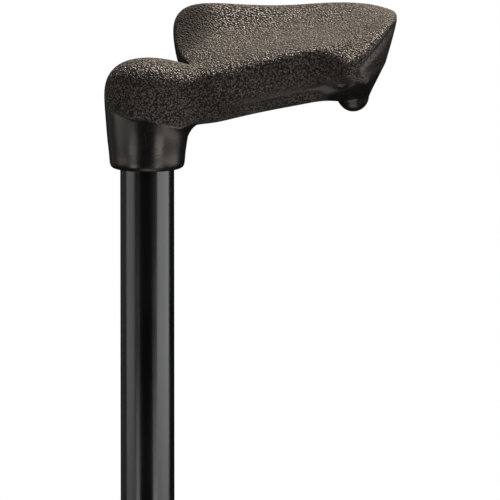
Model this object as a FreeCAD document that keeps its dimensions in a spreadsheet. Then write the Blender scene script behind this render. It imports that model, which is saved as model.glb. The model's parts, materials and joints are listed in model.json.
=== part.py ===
"""Quad walking cane with a left-hand palm grip: telescoping shaft, snap button, tube lock and four-legged base.

Frame: millimetres, +Z up, origin on the shaft's axis at floor level.  The walker faces -X, so the handle points
back along +X.  The palm rest and the flat side of the base lie towards the walker, on +Y.
The height setting drawn is the middle hole of the row.
"""
import FreeCAD, Part
import math
import os
import re
import Sketcher

Vector = FreeCAD.Vector
Rotation = FreeCAD.Rotation
Placement = FreeCAD.Placement

doc = FreeCAD.newDocument("quad_cane")
sheet = doc.addObject("Spreadsheet::Sheet", "Sheet")

# Name, value in millimetres or degrees, and what it measures.
SIZES = [
    # Telescoping shaft
    ("upper_od", 25.4, "upper tube, outside"),
    ("upper_wall", 1.2, "upper tube, wall"),
    ("upper_bottom", 250.0, "height of the upper tube's lower end"),
    ("lower_od", 22.2, "lower tube, outside"),
    ("lower_wall", 1.6, "lower tube, wall"),
    ("lower_top", 418.0, "height of the lower tube's top end"),
    ("glide_gap", 0.1, "running gap round the glide bush, on the radius"),
    ("plug_gap", 0.05, "gap of a pushed-in plug, on the radius"),
    # Height setting
    ("hole_pitch", 25.4, "distance between the height holes"),
    ("hole_count", 7, "number of height holes"),
    ("hole_d", 8.2, "height hole"),
    ("button_height", 385.0, "height of the snap button's axis"),
    ("button_d", 7.5, "snap button, shank"),
    ("button_flange_d", 10.0, "snap button, flange"),
    ("button_flange_at", 7.9, "distance of the flange's outer face from the shaft's axis"),
    ("button_flange_thick", 0.8, "flange thickness"),
    ("button_tip_at", 14.7, "distance of the button's tip from the shaft's axis"),
    ("strip_thick", 0.6, "leaf spring, strip thickness"),
    ("strip_width", 7.0, "leaf spring, strip width"),
    ("spring_half", 7.85, "leaf spring, outer half width of its bend"),
    ("spring_shift", 0.85, "leaf spring, offset of its middle from the shaft's axis"),
    ("leaf_length", 42.0, "leaf spring, length of a leaf"),
    # Tube lock
    ("spigot_od", 30.0, "collet, threaded spigot"),
    ("flange_od", 34.0, "collet, flange"),
    ("flange_height", 13.0, "collet, height of the flange"),
    ("spigot_height", 26.0, "collet, height of the spigot"),
    ("mouth_d", 28.0, "collet, mouth of its inner cone"),
    ("cone_height", 8.0, "collet, height of its inner cone"),
    ("seat_drop", 14.0, "distance of the collet's lower end below the tube's end"),
    ("collet_bore", 22.6, "collet, bore round the lower tube"),
    ("ring_bore", 22.3, "clamp ring, bore"),
    ("ring_cone_gap", 0.1, "clamp ring, gap to the collet's cone, on the radius"),
    ("ring_height", 6.0, "clamp ring, height of its cone"),
    ("ring_flange_od", 27.8, "clamp ring, flange"),
    ("ring_flange_height", 4.5, "clamp ring, height of its flange"),
    ("ring_slot", 1.5, "clamp ring, width of its split"),
    ("nut_od", 37.0, "lock nut, outside"),
    ("nut_bore", 30.4, "lock nut, bore over the spigot's thread"),
    ("nut_web_bore", 23.2, "lock nut, bore of its bottom web"),
    ("nut_web", 2.4, "lock nut, thickness of its bottom web"),
    ("nut_height", 32.7, "lock nut, height"),
    ("nut_gap", 0.1, "gap between the nut's web and the clamp ring"),
    ("flute_count", 20, "lock nut, finger flutes"),
    ("flute_d", 5.0, "lock nut, diameter of the flutes"),
    ("flute_depth", 0.8, "lock nut, depth of the flutes"),
    # Hub
    ("hub_od", 28.6, "hub sleeve, outside"),
    ("hub_bore", 22.4, "hub sleeve, bore"),
    ("hub_bottom", 78.0, "height of the hub sleeve's lower end"),
    ("hub_top", 145.0, "height of the hub sleeve's top end"),
    ("cap_thick", 4.0, "hub end cap, thickness of its flange"),
    ("cap_spigot", 12.0, "hub end cap, length of its spigot"),
    ("bolt_height", 131.0, "height of the cross bolt's axis"),
    ("bolt_d", 6.0, "cross bolt, thread diameter"),
    ("bolt_length", 40.0, "cross bolt, length under the head"),
    ("bolt_hole", 6.4, "hole for the cross bolt"),
    ("hex_flats", 10.0, "cross bolt, width across flats"),
    ("head_height", 4.0, "cross bolt, height of its head"),
    ("nut_thick", 5.0, "cross bolt's nut, height"),
    ("washer_od", 12.0, "cross bolt's washers, outside"),
    ("washer_thick", 1.2, "cross bolt's washers, thickness"),
    # Legs and tips
    ("leg_od", 12.7, "leg tube, outside"),
    ("leg_wall", 1.5, "leg tube, wall"),
    ("leg_slope", 12.0, "slope of a leg's arm below level"),
    ("leg_bend", 40.0, "radius of a leg's bend"),
    ("leg_root", 112.0, "height of the arms' axes at the start of the tube"),
    ("leg_start", 10.0, "distance of the arm's start from the shaft's axis"),
    ("leg_foot", 8.5, "height of a leg tube's lower end"),
    ("foot_x", 85.0, "distance of a foot ahead of or behind the shaft"),
    ("foot_outer_y", 75.0, "distance of the outer feet from the shaft, away from the walker"),
    ("foot_inner_y", 45.0, "distance of the inner feet from the shaft, towards the walker"),
    ("tip_od", 30.0, "rubber tip, outside at the floor"),
    ("tip_neck_od", 20.5, "rubber tip, outside at its neck"),
    ("tip_height", 36.0, "rubber tip, height"),
    ("tip_gap", 0.05, "gap between a tip's bore and its leg, on the radius"),
    ("disc_thick", 1.5, "steel washer inside a tip, thickness"),
    # Grip
    ("grip_bottom", 800.0, "height of the collar's lower edge"),
    ("collar_od", 36.0, "grip's collar, outside"),
    ("bore_depth", 36.2, "grip, depth of the bore for the upper tube"),
    ("elbow_x", 25.5, "distance from the shaft's axis to the centre of the elbow's bend"),
    ("elbow_z", 13.5, "height of that centre above the collar's lower edge"),
    ("palm_stretch", 1.0, "length of the palm part, as a multiple of a medium hand's"),
    ("wing_stretch", 1.0, "reach of the palm rest, as a multiple of a medium hand's"),
    ("nub_d", 13.6, "round nub under the handle's rear end, diameter"),
    ("nub_x", 96.8, "distance of the nub's centre from the shaft's axis"),
    ("nub_z", 34.0, "height of the nub's centre above the collar's lower edge"),
    ("plug_bottom", 4.0, "handle plug, height of its lower end above the collar's edge"),
    ("screw_height", 14.0, "handle screw, height of its axis above the collar's edge"),
    ("screw_d", 4.2, "handle screw, thread diameter"),
    ("screw_length", 13.0, "handle screw, length under the head"),
    ("screw_seat", 15.2, "distance of the screw head's seat from the shaft's axis"),
    ("screw_head_d", 8.0, "handle screw, head"),
    ("screw_head_height", 2.0, "handle screw, height of its head"),
    ("screw_pocket_d", 8.6, "counterbore for the screw's head"),
]
for row, (alias, number, meaning) in enumerate(SIZES, start=1):
    sheet.set("A%d" % row, meaning)
    sheet.set("B%d" % row, str(number))
    sheet.setAlias("B%d" % row, alias)
doc.recompute()
ALIASES = {alias for alias, number, meaning in SIZES}


# Helpers ------------------------------------------------------------------------------------------------------

def bound(expression):
    """The expression with each size's name pointing at its cell in the sheet."""
    def point(word):
        name = word.group(0)
        return "Sheet." + name if name in ALIASES else name
    return re.sub(r"[a-z][a-z_]*", point, expression)


def value(expression):
    """The number that an expression of sizes stands for now."""
    return float(sheet.evalExpression(bound(expression)))


def bind(thing, **sizes):
    """Bind properties of a document object to expressions of sizes."""
    for name, expression in sizes.items():
        thing.setExpression(name, bound(expression))


def bind_place(thing, **offsets):
    """Bind the object's position along x, y or z to expressions of sizes."""
    for axis, expression in offsets.items():
        thing.setExpression("Placement.Base." + axis, bound(expression))


def new_body(label):
    body = doc.addObject("PartDesign::Body", label)
    body.Label = label
    return body


def origin_feature(body, role):
    for feature in body.Origin.OriginFeatures:
        if feature.Role == role:
            return feature
    raise ValueError("no origin feature " + role)


def new_sketch(body, role):
    sketch = body.newObject("Sketcher::SketchObject", body.Label + "_sketch")
    sketch.AttachmentSupport = (origin_feature(body, role), "")
    sketch.MapMode = "FlatFace"
    return sketch


def pin_point(sketch, edge, end, across, up):
    """Fix one end of a sketch edge at a distance across and up from the sketch's origin."""
    for kind, expression in (("DistanceX", across), ("DistanceY", up)):
        number = sketch.addConstraint(Sketcher.Constraint(kind, -1, 1, edge, end, value(expression)))
        sketch.setExpression("Constraints[%d]" % number, bound(expression))


def draw_outline(sketch, points):
    """Draw a closed outline of straight edges through points given as pairs of expressions."""
    spots = [Vector(value(across), value(up), 0) for across, up in points]
    first = sketch.GeometryCount
    count = len(points)
    for i in range(count):
        sketch.addGeometry(Part.LineSegment(spots[i], spots[(i + 1) % count]), False)
    for i in range(count):
        sketch.addConstraint(Sketcher.Constraint("Coincident", first + i, 2, first + (i + 1) % count, 1))
        pin_point(sketch, first + i, 1, *points[i])


def draw_circle(sketch, across, up, radius):
    """Draw a circle whose centre and radius are expressions."""
    circle = Part.Circle(Vector(value(across), value(up), 0), Vector(0, 0, 1), value(radius))
    edge = sketch.addGeometry(circle, False)
    pin_point(sketch, edge, 3, across, up)
    number = sketch.addConstraint(Sketcher.Constraint("Radius", edge, value(radius)))
    sketch.setExpression("Constraints[%d]" % number, bound(radius))


def turned(label, outline):
    """A body turned about its own Z axis: each point of the outline is a radius and a height."""
    body = new_body(label)
    sketch = new_sketch(body, "XZ_Plane")
    draw_outline(sketch, outline)
    turn = body.newObject("PartDesign::Revolution", label + "_turn")
    turn.Profile = sketch
    turn.ReferenceAxis = (sketch, ["V_Axis"])
    turn.Angle = 360
    doc.recompute()
    return body


def ring_outline(inner, outer, bottom, top):
    """The outline of a plain ring or tube, from expressions of its radii and heights."""
    return [(inner, bottom), (outer, bottom), (outer, top), (inner, top)]


def cut_away(body, kind, place, **sizes):
    """Cut a PartDesign cylinder or box out of the body, and make sure that it removed something."""
    before = body.Shape.Volume
    cut = body.newObject("PartDesign::Subtractive" + kind, body.Label + "_cut")
    cut.Placement = place
    bind(cut, **sizes)
    doc.recompute()
    if not body.Shape.Volume < before - 0.01:
        raise ValueError(body.Label + ": a cut removed nothing")
    return cut


ALONG_Y = Rotation(Vector(1, 0, 0), -90)
AGAINST_Y = Rotation(Vector(1, 0, 0), 90)
UPRIGHT = Rotation()


def drill(body, diameter, height, start, length):
    """Drill a round hole along +Y at a height, from y = start and over a length."""
    place = Placement(Vector(0, value(start), value(height)), ALONG_Y)
    hole = cut_away(body, "Cylinder", place, Radius=diameter + " / 2", Height=length)
    bind_place(hole, y=start, z=height)
    doc.recompute()
    return hole


def round_rims(body, radius, rims):
    """Round the body's circular edges that have one of the given (radius, height) pairs."""
    base = body.Tip
    wanted = [(value(across), value(up)) for across, up in rims]
    names = []
    for number, edge in enumerate(base.Shape.Edges, start=1):
        curve = edge.Curve
        if not isinstance(curve, Part.Circle):
            continue
        if any(abs(curve.Radius - across) < 0.01 and abs(curve.Center.z - up) < 0.01 for across, up in wanted):
            names.append("Edge%d" % number)
    if len(names) < len(wanted):
        raise ValueError(body.Label + ": a rim to round was not found")
    fillet = body.newObject("PartDesign::Fillet", body.Label + "_fillet")
    fillet.Base = (base, names)
    bind(fillet, Radius=radius)
    doc.recompute()


def repeat(body, kind, feature, **settings):
    """Repeat the last cut of a body along or about its Z axis."""
    pattern = body.newObject("PartDesign::" + kind, body.Label + "_pattern")
    pattern.Originals = [feature]
    axis = (origin_feature(body, "Z_Axis"), [""])
    if kind == "LinearPattern":
        pattern.Direction = axis
    else:
        pattern.Axis = axis
        pattern.Angle = 360
    bind(pattern, **settings)
    body.Tip = pattern
    doc.recompute()


def primitive(kind, name, place, **sizes):
    """A Part primitive with its sizes bound to the sheet."""
    solid = doc.addObject("Part::" + kind, name)
    solid.Placement = place
    bind(solid, **sizes)
    return solid


def at(x=0.0, y=0.0, z=0.0, rotation=UPRIGHT):
    return Placement(Vector(x, y, z), rotation)


# Telescoping shaft --------------------------------------------------------------------------------------------

def make_upper_tube():
    """The outer tube, with its row of height holes on the outer side and a screw hole at the top."""
    top = "grip_bottom + bore_depth - 0.2"
    bore = "upper_od / 2 - upper_wall"
    body = turned("upper_tube", ring_outline(bore, "upper_od / 2", "upper_bottom", top))
    lowest = "button_height - hole_pitch * (hole_count - 1) / 2"
    hole = drill(body, "hole_d", lowest, "-upper_od", "upper_od")
    repeat(body, "LinearPattern", hole, Length="hole_pitch * (hole_count - 1)", Occurrences="hole_count")
    drill(body, "screw_d + 0.3", "grip_bottom + screw_height", "0", "upper_od")
    return body


def make_lower_tube():
    """The inner tube, with one hole for the snap button and a pair for the cross bolt."""
    bore = "lower_od / 2 - lower_wall"
    body = turned("lower_tube", ring_outline(bore, "lower_od / 2", "hub_bottom", "lower_top"))
    drill(body, "button_d + 0.5", "button_height", "-lower_od", "lower_od")
    drill(body, "bolt_hole", "bolt_height", "-lower_od", "2 * lower_od")
    return body


def make_tube_glide():
    """Flanged bush pushed into the lower tube's top, which centres it in the upper tube."""
    outer = "upper_od / 2 - upper_wall - glide_gap"
    spigot = "lower_od / 2 - lower_wall - plug_gap"
    bore = spigot + " - 2"
    body = turned("tube_glide", [
        (bore, "lower_top - 12"),
        (spigot, "lower_top - 12"),
        (spigot, "lower_top"),
        (outer, "lower_top"),
        (outer, "lower_top + 5"),
        (outer + " - 1", "lower_top + 6"),
        (bore, "lower_top + 6"),
    ])
    return body


def make_snap_button():
    """Round-nosed button with a flange that stops it inside the lower tube; it points away from the walker."""
    shank = "button_d / 2"
    body = turned("snap_button", [
        ("0", "button_flange_at - button_flange_thick"),
        ("button_flange_d / 2", "button_flange_at - button_flange_thick"),
        ("button_flange_d / 2", "button_flange_at"),
        (shank, "button_flange_at"),
        (shank, "button_tip_at"),
        ("0", "button_tip_at"),
    ])
    round_rims(body, "button_d / 2 - 1.5", [(shank, "button_tip_at")])
    body.Placement = at(z=value("button_height"), rotation=AGAINST_Y)
    bind_place(body, z="button_height")
    return body


def make_snap_spring():
    """U-shaped leaf spring inside the lower tube, with one leaf behind the button's flange."""
    body = new_body("snap_spring")
    near = "spring_half - strip_thick"
    half_width = "strip_width / 2"
    bend_sketch = new_sketch(body, "XY_Plane")
    draw_outline(bend_sketch, [
        ("-" + half_width, near),
        (half_width, near),
        (half_width, "spring_half"),
        ("-" + half_width, "spring_half"),
    ])
    bend = body.newObject("PartDesign::Revolution", "snap_spring_bend")
    bend.Profile = bend_sketch
    bend.ReferenceAxis = (bend_sketch, ["H_Axis"])
    bend.Angle = 180
    bend.Reversed = True
    leaf_sketch = new_sketch(body, "XY_Plane")
    for side in ("", "-"):
        draw_outline(leaf_sketch, [
            ("-" + half_width, side + "(%s)" % near),
            (half_width, side + "(%s)" % near),
            (half_width, side + "spring_half"),
            ("-" + half_width, side + "spring_half"),
        ])
    leaves = body.newObject("PartDesign::Pad", "snap_spring_leaves")
    leaves.Profile = leaf_sketch
    bind(leaves, Length="leaf_length")
    doc.recompute()
    bind_place(body, y="spring_shift", z="button_height - leaf_length + 6")
    return body


# Tube lock at the upper tube's lower end ----------------------------------------------------------------------

SEAT = "(upper_bottom - seat_drop)"


def make_lock_collet():
    """Collet pushed on the upper tube's end: flange, threaded spigot, and a cone that the clamp ring seats in."""
    flange_top = "upper_bottom + 25"
    flange_bottom = flange_top + " - flange_height"
    tube_bore = "upper_od / 2 + plug_gap"
    body = turned("lock_collet", [
        ("mouth_d / 2", SEAT),
        ("spigot_od / 2 - 0.6", SEAT),
        ("spigot_od / 2", SEAT + " + 0.6"),
        ("spigot_od / 2", flange_bottom),
        ("flange_od / 2", flange_bottom),
        ("flange_od / 2", flange_top + " - 6"),
        ("upper_od / 2 + 1.6", flange_top),
        (tube_bore, flange_top),
        (tube_bore, "upper_bottom"),
        ("collet_bore / 2", "upper_bottom"),
        ("collet_bore / 2", SEAT + " + cone_height"),
    ])
    rims = [("flange_od / 2", flange_bottom), ("flange_od / 2", flange_top + " - 6")]
    round_rims(body, "0.8", rims)
    return body


def make_clamp_ring():
    """Split nylon ring whose cone closes on the lower tube when the lock nut pulls it into the collet."""
    cone_at_seat = "mouth_d / 2 - ring_cone_gap"
    slope = "(mouth_d - collet_bore) / 2 / cone_height"
    body = turned("clamp_ring", [
        ("ring_bore / 2", SEAT + " - ring_flange_height"),
        ("ring_flange_od / 2", SEAT + " - ring_flange_height"),
        ("ring_flange_od / 2", SEAT + " - 0.5"),
        (cone_at_seat + " - 0.3", SEAT),
        (cone_at_seat + " - ring_height * " + slope, SEAT + " + ring_height"),
        ("ring_bore / 2", SEAT + " + ring_height"),
    ])
    height = "ring_flange_height + ring_height + 2"
    place = at(y=-value("ring_slot") / 2, z=value(SEAT + " - ring_flange_height - 1"))
    slot = cut_away(body, "Box", place, Length="ring_flange_od", Width="ring_slot", Height=height)
    bind_place(slot, y="-ring_slot / 2", z=SEAT + " - ring_flange_height - 1")
    return body


def make_lock_nut():
    """Fluted hand nut that screws on the collet's spigot and carries the clamp ring on its bottom web."""
    web_top = SEAT + " - ring_flange_height - nut_gap"
    bottom = web_top + " - nut_web"
    top = bottom + " + nut_height"
    body = turned("lock_nut", [
        ("nut_web_bore / 2", bottom),
        ("nut_od / 2 - 3", bottom),
        ("nut_od / 2", bottom + " + 5"),
        ("nut_od / 2", top),
        ("nut_bore / 2", top),
        ("nut_bore / 2", web_top),
        ("nut_web_bore / 2", web_top),
    ])
    round_rims(body, "1.2", [("nut_od / 2", bottom + " + 5"), ("nut_od / 2 - 3", bottom), ("nut_od / 2", top)])
    flute_x = "nut_od / 2 + flute_d / 2 - flute_depth"
    place = at(x=value(flute_x), z=value(bottom + " + 4"))
    flute = cut_away(body, "Cylinder", place, Radius="flute_d / 2", Height="nut_height - 7")
    bind_place(flute, x=flute_x, z=bottom + " + 4")
    repeat(body, "PolarPattern", flute, Occurrences="flute_count")
    return body


# Hub of the base ----------------------------------------------------------------------------------------------

def make_hub_sleeve():
    """Steel sleeve that the legs are welded to and the lower tube is bolted in."""
    body = turned("hub_sleeve", ring_outline("hub_bore / 2", "hub_od / 2", "hub_bottom", "hub_top"))
    round_rims(body, "1.2", [("hub_od / 2", "hub_top")])
    drill(body, "bolt_hole", "bolt_height", "-hub_od", "2 * hub_od")
    return body


def make_hub_end_cap():
    """Plug that closes the hub from below."""
    spigot = "lower_od / 2 - lower_wall - plug_gap"
    bottom = "hub_bottom - cap_thick"
    body = turned("hub_end_cap", [
        ("0", bottom),
        ("hub_od / 2", bottom),
        ("hub_od / 2", "hub_bottom"),
        (spigot, "hub_bottom"),
        (spigot + " - 0.4", "hub_bottom + cap_spigot"),
        ("0", "hub_bottom + cap_spigot"),
    ])
    round_rims(body, "1.8", [("hub_od / 2", bottom)])
    return body


def make_washer(label, outer, bore, thick):
    return turned(label, ring_outline(bore, outer, "0", thick))


def hex_solid(name, place, height):
    """A hexagon prism whose outer end is turned to the usual thirty degree chamfer."""
    prism = primitive("Prism", name + "_prism", place, Circumradius="hex_flats / sqrt(3)", Height=height)
    prism.Polygon = 6
    chamfer = 1.73
    cone = primitive(
        "Cone", name + "_cone", place,
        Radius1="0.475 * hex_flats + %g * (%s)" % (chamfer, height), Radius2="0.475 * hex_flats", Height=height,
    )
    both = doc.addObject("Part::Common", name + "_hex")
    both.Base = prism
    both.Tool = cone
    return both


def hub_face():
    """Distance from the shaft's axis to the outer face of a washer on the hub."""
    return "(hub_od / 2 + washer_thick)"


def make_hub_bolt():
    """Cross bolt with its head on the outer side."""
    face = value("-" + hub_face())
    head = hex_solid("hub_bolt_head", at(y=face, z=value("bolt_height"), rotation=AGAINST_Y), "head_height")
    place = at(y=face - 0.01, z=value("bolt_height"), rotation=ALONG_Y)
    shank = primitive("Cylinder", "hub_bolt_shank", place, Radius="bolt_d / 2", Height="bolt_length")
    bolt = doc.addObject("Part::Fuse", "hub_bolt")
    bolt.Base = head
    bolt.Tool = shank
    bolt.Label = "hub_bolt"
    return bolt


def make_hub_nut():
    """Hexagon nut on the walker's side."""
    face = value(hub_face())
    blank = hex_solid("hub_nut_blank", at(y=face, z=value("bolt_height"), rotation=ALONG_Y), "nut_thick")
    place = at(y=face - 1, z=value("bolt_height"), rotation=ALONG_Y)
    bore = primitive("Cylinder", "hub_nut_bore", place, Radius="bolt_d / 2 + 0.05", Height="nut_thick + 2")
    nut = doc.addObject("Part::Cut", "hub_nut")
    nut.Base = blank
    nut.Tool = bore
    nut.Label = "hub_nut"
    return nut


def make_hub_washers():
    """One washer under the bolt's head and one under its nut."""
    head_side = make_washer("hub_washer_head", "washer_od / 2", "bolt_hole / 2", "washer_thick")
    head_side.Placement = at(y=-value("hub_od / 2"), z=value("bolt_height"), rotation=AGAINST_Y)
    nut_side = make_washer("hub_washer_nut", "washer_od / 2", "bolt_hole / 2", "washer_thick")
    nut_side.Placement = at(y=value("hub_od / 2"), z=value("bolt_height"), rotation=ALONG_Y)
    return [head_side, nut_side]


# Legs and tips ------------------------------------------------------------------------------------------------

def make_leg(label, reach, turn):
    """A bent leg tube: it rises from the foot, bends, and climbs gently to the hub that its end is coped to."""
    body = new_body(label)
    distance = value(reach)
    slope = math.radians(value("leg_slope"))
    bend = value("leg_bend")
    foot = value("leg_foot")
    start = value("leg_start")
    root = value("leg_root")
    fall = (distance - bend + bend * math.sin(slope) - start) * math.tan(slope)
    centre = Vector(distance - bend, root - fall - bend * math.cos(slope), 0)
    bend_top = centre + Vector(bend * math.sin(slope), bend * math.cos(slope), 0)
    bend_low = Vector(distance, centre.y, 0)

    spine = new_sketch(body, "XZ_Plane")
    upright = spine.addGeometry(Part.LineSegment(Vector(distance, foot, 0), bend_low), False)
    circle = Part.Circle(centre, Vector(0, 0, 1), bend)
    arc = spine.addGeometry(Part.ArcOfCircle(circle, 0, math.pi / 2 - slope), False)
    arm = spine.addGeometry(Part.LineSegment(bend_top, Vector(start, root, 0)), False)
    spine.addConstraint(Sketcher.Constraint("Vertical", upright))
    spine.addConstraint(Sketcher.Constraint("Tangent", upright, 2, arc, 1))
    spine.addConstraint(Sketcher.Constraint("Tangent", arc, 2, arm, 1))
    pin_point(spine, upright, 1, reach, "leg_foot")
    pin_point(spine, arm, 2, "leg_start", "leg_root")
    number = spine.addConstraint(Sketcher.Constraint("Radius", arc, bend))
    spine.setExpression("Constraints[%d]" % number, bound("leg_bend"))
    angle = spine.addConstraint(Sketcher.Constraint("Angle", arm, math.pi - slope))
    spine.setExpression("Constraints[%d]" % angle, bound("180 - leg_slope"))

    section = new_sketch(body, "XY_Plane")
    section.AttachmentOffset = at(z=foot)
    section.setExpression("AttachmentOffset.Base.z", bound("leg_foot"))
    draw_circle(section, reach, "0", "leg_od / 2")
    draw_circle(section, reach, "0", "leg_od / 2 - leg_wall")
    pipe = body.newObject("PartDesign::AdditivePipe", label + "_pipe")
    pipe.Profile = section
    pipe.Spine = (spine, ["Edge1", "Edge2", "Edge3"])
    doc.recompute()

    cope = cut_away(body, "Cylinder", at(z=root - 30), Radius="hub_od / 2", Height="60")
    bind_place(cope, z="leg_root - 30")
    body.Placement = at(rotation=Rotation(Vector(0, 0, 1), turn))
    return body


def make_tip(label, x, y):
    """Bell-shaped rubber tip with a blind bore for the leg and two grooves round its sole."""
    foot = "tip_od / 2"
    neck = "tip_neck_od / 2"
    bore = "leg_od / 2 + tip_gap"
    groove = "1.2"
    body = turned(label, [
        ("0", "0"),
        ("4", "0"),
        ("4.6", groove),
        ("6.4", groove),
        ("7", "0"),
        ("9", "0"),
        ("9.6", groove),
        ("11.4", groove),
        ("12", "0"),
        (foot + " - 0.8", "0"),
        (foot, "1.5"),
        (foot, "7"),
        (neck + " + 0.6", "15"),
        (neck, "tip_height - 7"),
        (neck + " + 0.7", "tip_height - 6"),
        (neck + " + 0.7", "tip_height - 1"),
        (neck, "tip_height"),
        (bore, "tip_height"),
        (bore, "leg_foot - disc_thick"),
        ("0", "leg_foot - disc_thick"),
    ])
    round_rims(body, "2.5", [(foot, "7")])
    body.Placement = at(x=x, y=y)
    return body


def make_tip_washer(label, x, y):
    """Steel disc that keeps the leg's edge from cutting through the sole."""
    body = turned(label, [
        ("0", "0"),
        ("leg_od / 2 - 0.05", "0"),
        ("leg_od / 2 - 0.05", "disc_thick"),
        ("0", "disc_thick"),
    ])
    body.Placement = at(x=x, y=y, z=value("leg_foot - disc_thick"))
    bind_place(body, z="leg_foot - disc_thick")
    return body


def make_feet():
    """The four legs with their tips and washers; front is -X, outer is -Y."""
    nodes = []
    for end, x_sign in (("front", -1), ("rear", 1)):
        for side, y_size, y_sign in (("outer", "foot_outer_y", -1), ("inner", "foot_inner_y", 1)):
            x = x_sign * value("foot_x")
            y = y_sign * value(y_size)
            reach = "sqrt(foot_x ^ 2 + %s ^ 2)" % y_size
            turn = math.degrees(math.atan2(y, x))
            place = end + "_" + side
            nodes.append(make_leg("leg_" + place, reach, turn))
            nodes.append(make_tip("tip_" + place, x, y))
            nodes.append(make_tip_washer("tip_washer_" + place, x, y))
    return nodes


# Grip ---------------------------------------------------------------------------------------------------------
# The handle is one smooth closed skin.  It is described by ribs: rings of twelve points that start at the
# collar's lower edge, climb the collar, turn through the elbow and run back along the palm part to its rear end.
# Around each rib the points go from the underside or rear (0) over the outer side, where the fingers lie (3),
# to the top or front (6), and back by the walker's side (9).

RIB_POINTS = 12


def round_rib(centre, axis_x, axis_z, half_reach, half_width):
    """An oval rib: half_reach along the direction (axis_x, axis_z) in the XZ plane, half_width along Y."""
    rib = []
    for i in range(RIB_POINTS):
        angle = 2 * math.pi * i / RIB_POINTS
        along = half_reach * math.cos(angle)
        rib.append(centre + Vector(axis_x * along, -half_width * math.sin(angle), axis_z * along))
    return rib


def elbow_rib(angle, inner, outer, half_width):
    """An oval rib across the elbow: from the inner to the outer distance from the bend's centre."""
    direction = Vector(-math.cos(math.radians(angle)), 0, math.sin(math.radians(angle)))
    centre = Vector(value("elbow_x"), 0, value("elbow_z")) + direction * ((inner + outer) / 2)
    return round_rib(centre, -direction.x, -direction.z, (outer - inner) / 2, half_width)


def collar_ribs():
    """Height, radius: the flat lower edge, its rounding, and the slightly tapered collar."""
    radius = value("collar_od / 2")
    profile = [(0, radius - 2.5), (0.5, radius - 1.2), (2.4, radius - 0.3), (7, radius)]
    return [round_rib(Vector(0, 0, height), 1, 0, size, size) for height, size in profile]


# Angle from level, inner distance, outer distance, half width.
ELBOW = [
    (0, 6.5, 44.3, 18.8),
    (15, 6.4, 46.7, 19.4),
    (30, 6.3, 52.5, 19.6),
    (42, 6.4, 52.8, 19.2),
    (54, 6.7, 47.7, 18.4),
    (68, 7.0, 40.8, 17.0),
    (82, 7.3, 35.5, 15.6),
]

# Each line is a rib: underside, underside edge, lower finger side, finger side, ridge, palm near the ridge;
# then palm middle, palm rest, its edge, the edge's back, its underside, lower back.
PALM = [
    [(32, 0, 22.2), (32, -9, 23.5), (31, -14.5, 29), (30, -16.5, 37), (28, -13.5, 46), (26, -4, 49),
     (21.5, 8, 50.5), (13.5, 20, 52.5), (12.1, 31, 58.5), (12, 36, 51), (16, 28, 41), (28, 12, 29)],
    [(43, 0, 24.6), (43, -10, 26.5), (42.5, -16, 32), (42, -18, 39.5), (41, -15.5, 46.5), (38, -7.5, 51.8),
     (31, 12, 55), (24, 30, 60), (18, 41, 72), (19, 45, 66), (28, 33, 49), (41, 14, 31)],
    [(56, 0, 27.5), (56, -10, 29.5), (56, -15.5, 35.5), (56, -17.5, 42.5), (55.5, -15.5, 49.8), (54, -9, 55),
     (49, 15, 58.5), (44, 35, 62.2), (41, 46, 71.9), (41, 50, 67.5), (47, 38, 54), (55, 15, 34.5)],
    [(70, 0, 30.2), (70, -9.5, 31.7), (70, -14.8, 37.3), (70, -16.3, 44.8), (70, -15, 52.3), (70, -10.5, 57.8),
     (68, 16, 61), (66, 35, 65), (64, 47, 71.2), (64, 50.5, 67.5), (66, 38, 56.5), (70, 14, 36.5)],
    [(82.5, 0, 32.4), (82.5, -9, 34), (82, -13.8, 39), (82, -15.5, 46.5), (81.5, -13, 54.3), (83, -8, 59.8),
     (84, 16, 63.4), (85, 34, 67.6), (86, 47, 72.8), (86, 50, 69.5), (84, 37, 59.5), (83, 13, 38.5)],
    [(90, 0, 32.2), (90.5, -8.5, 33.5), (91, -15.5, 38.5), (90.5, -20, 46), (90, -19.5, 53), (94, -9, 60.3),
     (100, 12, 65.6), (103, 30, 69.6), (104, 43, 72.4), (104, 46, 70), (101, 33, 61), (95, 12, 39.5)],
    [(97.5, 0, 33), (97.5, -9.5, 34.5), (96.5, -19, 41), (93, -23.8, 46.6), (95.5, -23.5, 53.5),
     (104, -11, 62.3), (111, 8, 69), (114.8, 24, 71), (111, 37, 71.3), (110, 39, 69.5), (109, 29, 62),
     (102.5, 11, 38.5)],
    [(103.4, 0, 34.8), (105, -9, 37.5), (102.5, -17, 42.5), (97, -22.5, 46.8), (99, -22, 53.3),
     (107.5, -10, 61.8), (114.9, 8, 68.3), (117.2, 22, 69.8), (114.3, 35, 70), (113.5, 37, 68), (113.3, 27, 60),
     (107.5, 10, 40)],
    [(106.2, 0, 38.5), (107, -5, 42), (106, -11, 45), (105, -14.5, 48.5), (107.2, -14, 53),
     (111.8, -5, 58.6), (115.7, 7, 63.5), (117.1, 17, 65.3), (115.9, 27, 65), (115.3, 27, 61.5),
     (113.5, 20, 54.5), (109.3, 8, 44)],
]
REAR_POINT = (112, 3, 49.5)


def palm_point(x, y, z):
    """A point of the palm part, stretched for the hand's size."""
    elbow = value("elbow_x")
    reach = y * value("wing_stretch") if y > 0 else y
    return Vector(elbow + (x - elbow) * value("palm_stretch"), reach, z)


def push_out(before, point, after):
    """Move a point away from its neighbours' middle, so that the smooth skin passes close to its old place."""
    return point + (point * 2 - before - after) * (1 / 6)


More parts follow.
